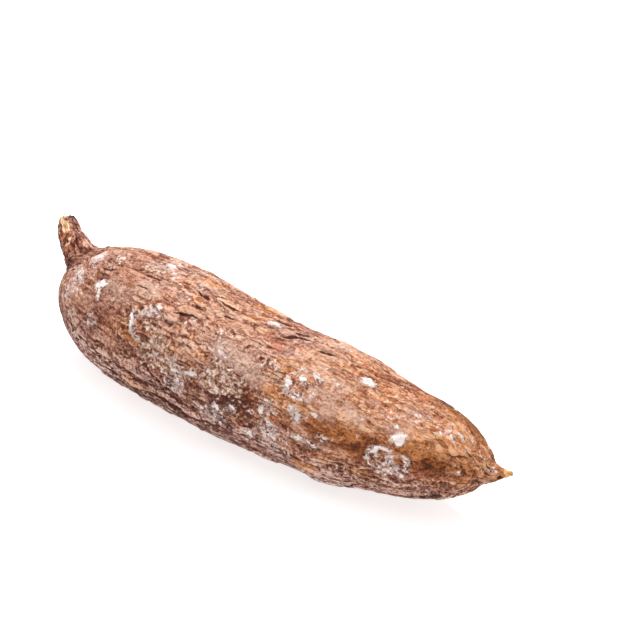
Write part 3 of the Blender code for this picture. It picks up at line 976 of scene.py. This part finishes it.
    # the dark lines: painted shade in cracks, valleys, pits and wrinkles, and painted shadow under lifted
    # flake and plate edges, fainter under film and stains and on the calmer parts
    calm = 1 - milk.most(stained * 0.5)
    calm *= tail.rise(0.1, 1, 1, 0.75)
    calm *= mild.rise(0, 1, 1, 0.65)
    calm *= shaded_underside.rise(0, 1, 0.85, 1)
    seam_shade = (gap * 0.95).most(valley * 0.95).most(slit_shadow * 0.9).most(pits * 0.8)
    seam_shade = seam_shade.most(fine * tail.rise(0.1, 0.8, 0.5, 0.85)) * flake.rise(0, 1, 1, 0.45)
    seam_shade = seam_shade.most(flake_foot_shadow * clots.rise(0.35, 0.52, 0.2, 0.85))
    seam_shade = (seam_shade * calm).most(crack).clamped()
    colour = n.mix(colour, SEAM_SHADE_BROWN, seam_shade * 0.97)
    dirt = (n.field("soil").most(n.field("clod")) + clots.sway(1)).rise(0.42, 0.6)
    colour = n.mix(colour, SOIL_BLACK, dirt * 0.92)

    # grains of crust
    own_grain, _, grain_edge = n.cells(n.shift(n.stretch(flow, 1.6, 1.4), fray, 1.2))
    crusty = (crust + own_grain[0].sway(0.25) + clots.sway(1.4)).rise(0.34, 0.54) * crust.rise(0.08, 0.3)
    lump = mottle.sway(1.2) + grains.sway(1.3) + clots.sway(1.6) + (own_grain[1].sway(0.3) + 0.48)
    crumbs = lump.ramp(
        (0.16, 0.115, 0.04, 0.02), (0.38, 0.34, 0.16, 0.102), (0.58, 0.65, 0.415, 0.3),
        (0.8, 0.91, 0.78, 0.69))
    colour = n.mix(colour, crumbs, crusty)

    # lime: powder and grains in it, single pale flecks that are painted glints, and a thick coat with a halo
    dusted = n.field("frost").most(dome * 0.25) + 0.04 + clots.sway(1.3)
    powder = dusted.rise(0.35, 1.05) * mottle.rise(0.38, 0.6)
    colour = n.mix(colour, POWDER_GREY, powder * 0.75)
    frosty = (dusted + own_grain[2].sway(1.2)).rise(1.04, 1.14) * grain_edge.rise(0.02, 0.14)
    colour = n.mix(colour, GRAIN_WHITE, frosty * 0.85)
    glint = own_grain[2].rise(0.9, 0.92) * grain_edge.rise(0.05, 0.16) * patches.rise(0.45, 0.6)
    colour = n.mix(colour, GLINT_BEIGE, glint * 0.75)
    edge = chalk + clots.sway(0.9) + grains.sway(0.9)
    chalky = edge.rise(0.5, 0.6)
    halo = edge.rise(0.3, 0.54) * mottle.rise(0.42, 0.56)
    colour = n.mix(colour, HALO_BEIGE, halo * 0.75)
    thick = chalk.rise(0.35, 0.85) + mottle.sway(1.8) + grains.sway(1.8)
    colour = n.mix(colour, n.mix(THIN_COAT, THICK_COAT, thick.rise(-0.1, 0.8)), chalky * 0.95)

    # torn wood
    wooden = (n.field("wood") + streaks.sway(1)).rise(0.42, 0.55)
    wood = streaks.ramp((0.32, 0.33, 0.13, 0.045), (0.5, 0.62, 0.39, 0.205), (0.66, 0.85, 0.68, 0.47))
    colour = n.mix(colour, n.mix(wood, SPIKE_YELLOW, tail * 0.55), wooden)
    n.put(n.shader.inputs["Base Color"], colour)

    # the shine, and the relief that is finer than the mesh
    gloss = stained.rise(0.2, 0.9) * specks.rise(0.4, 0.6, 0.45, 1)
    n.put(n.shader.inputs["Roughness"], streaks.rise(0.35, 0.7, 0.85, 0.62) - gloss * 0.35)
    n.put(n.shader.inputs["Specular IOR Level"], BARK_SHINE)
    height = streaks * fibrous * 0.6 + specks * 0.4 + mottle * 0.5 + ragged * 0.4
    height = height - seam_shade * 0.4 - peeled * 0.3 + saw * flaky * 0.5
    height += (down * 0.35 + own_part[0] * 0.3) * plated
    height -= dirt * 0.3
    height *= milk.rise(0, 0.7, 1, 0.7)
    height = height + chalky * 0.18 + frosty * 0.15 + crusty * lump * 0.7
    bump = n.add("Bump", "Normal", {"Strength": 1, "Distance": MM, "Height": height})
    n.put(n.shader.inputs["Normal"], bump)
    return n.material


def floor_material():
    """A plain, pale floor that glows a little."""
    n = Nodes("floor")
    for socket, value in (
            ("Base Color", FLOOR_GREY), ("Roughness", 0.9),
            ("Emission Color", (1, 1, 1)), ("Emission Strength", FLOOR_GLOW)):
        n.put(n.shader.inputs[socket], value)
    return n.material


# -------- stage

# The floor is a light table: it glows a little, so that the shadow on it stays pale. It lies a hair
# below the root, and reaches far enough to fill the picture.
FLOOR_GREY = (0.60, 0.60, 0.60)
FLOOR_GLOW = 0.65
FLOOR_DROP = 0.0002
FLOOR_REACH = 6.0

# Each lamp's name, place, size and power, in metres and watts, and the light from all round.
LAMPS = (
    ("key", (-0.50, 0.70, 1.15), 0.5, 24),
    ("overhead", (0.2, -0.2, 1.4), 1.2, 8),
    ("front_fill", (0.5, -1.2, 0.7), 1.2, 4),
)
LIGHT_TINT = (1.0, 0.965, 0.975)
STUDIO_LIGHT = 0.55

CAMERA_AZIMUTH = math.radians(37.2)
CAMERA_HEIGHT = math.radians(38)
CAMERA_DISTANCE = 0.82
CAMERA_LENS = 85
AIM = Vector((-0.0218, 0.0870, 0.0))


def aimed(thing, target):
    """Turns a camera or a lamp so that it looks at a point."""
    thing.rotation_euler = (target - thing.location).to_track_quat("-Z", "Y").to_euler()


def add_camera():
    """The camera, as far round, as high and as far away as the constants say."""
    data = bpy.data.cameras.new("camera")
    data.lens = CAMERA_LENS
    camera = bpy.data.objects.new("camera", data)
    level = math.cos(CAMERA_HEIGHT)
    back = Vector((
        math.sin(CAMERA_AZIMUTH) * level, -math.cos(CAMERA_AZIMUTH) * level, math.sin(CAMERA_HEIGHT)))
    camera.location = AIM + back * CAMERA_DISTANCE
    aimed(camera, AIM)
    bpy.context.scene.collection.objects.link(camera)
    bpy.context.scene.camera = camera


def add_lamp(name, place, size, power):
    """A round, soft lamp that looks at the root."""
    data = bpy.data.lights.new(name, "AREA")
    data.shape = "DISK"
    data.size = size
    data.energy = power
    data.color = LIGHT_TINT
    lamp = bpy.data.objects.new(name, data)
    lamp.location = place
    aimed(lamp, Vector((0, 0, 0)))
    bpy.context.scene.collection.objects.link(lamp)


def add_stage():
    """The floor, the lamps and the light from all round."""
    mesh = bpy.data.meshes.new("floor")
    reach = FLOOR_REACH
    mesh.from_pydata(
        [(-reach, -reach, 0), (reach, -reach, 0), (reach, reach, 0), (-reach, reach, 0)], [], [(0, 1, 2, 3)])
    floor = bpy.data.objects.new("floor", mesh)
    mesh.materials.append(floor_material())
    floor.location.z = -FLOOR_DROP
    bpy.context.scene.collection.objects.link(floor)
    for lamp in LAMPS:
        add_lamp(*lamp)
    world = bpy.data.worlds.new("studio")
    world.use_nodes = True
    background = world.node_tree.nodes["Background"]
    background.inputs["Color"].default_value = (*LIGHT_TINT, 1.0)
    background.inputs["Strength"].default_value = STUDIO_LIGHT
    bpy.context.scene.world = world
    bpy.context.scene.view_settings.view_transform = "Standard"


def main():
    """Makes the root, its marks and relief, and the stage."""
    root = Surface("cassava_root")
    zone = zones(root)
    scales, ridges = bark_lines(root, zone["shaded_underside"])
    zone["pace"] = steepness(root, scales)
    zone["swing"] = steepness(root, ridges)
    height = relief(root, zone, scales, ridges)
    # how far each corner lies below the bark round it; the material paints the bark darker there as painted
    # shade, and paler on the ridges as painted light
    hollow = np.clip((blur(height, 2.2, 2.2) - height) / 0.25, -1, 1)
    fields = dict(zone, flow=root.flow, scales=scales, ridges=ridges, hollow=hollow)
    bark = root_piece(root, height, torn_end(root), fields)
    bark.data.materials.append(bark_material())
    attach(bark, "root")
    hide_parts("cassava_root")
    add_stage()
    add_camera()


main()
bpy.context.view_layer.update()
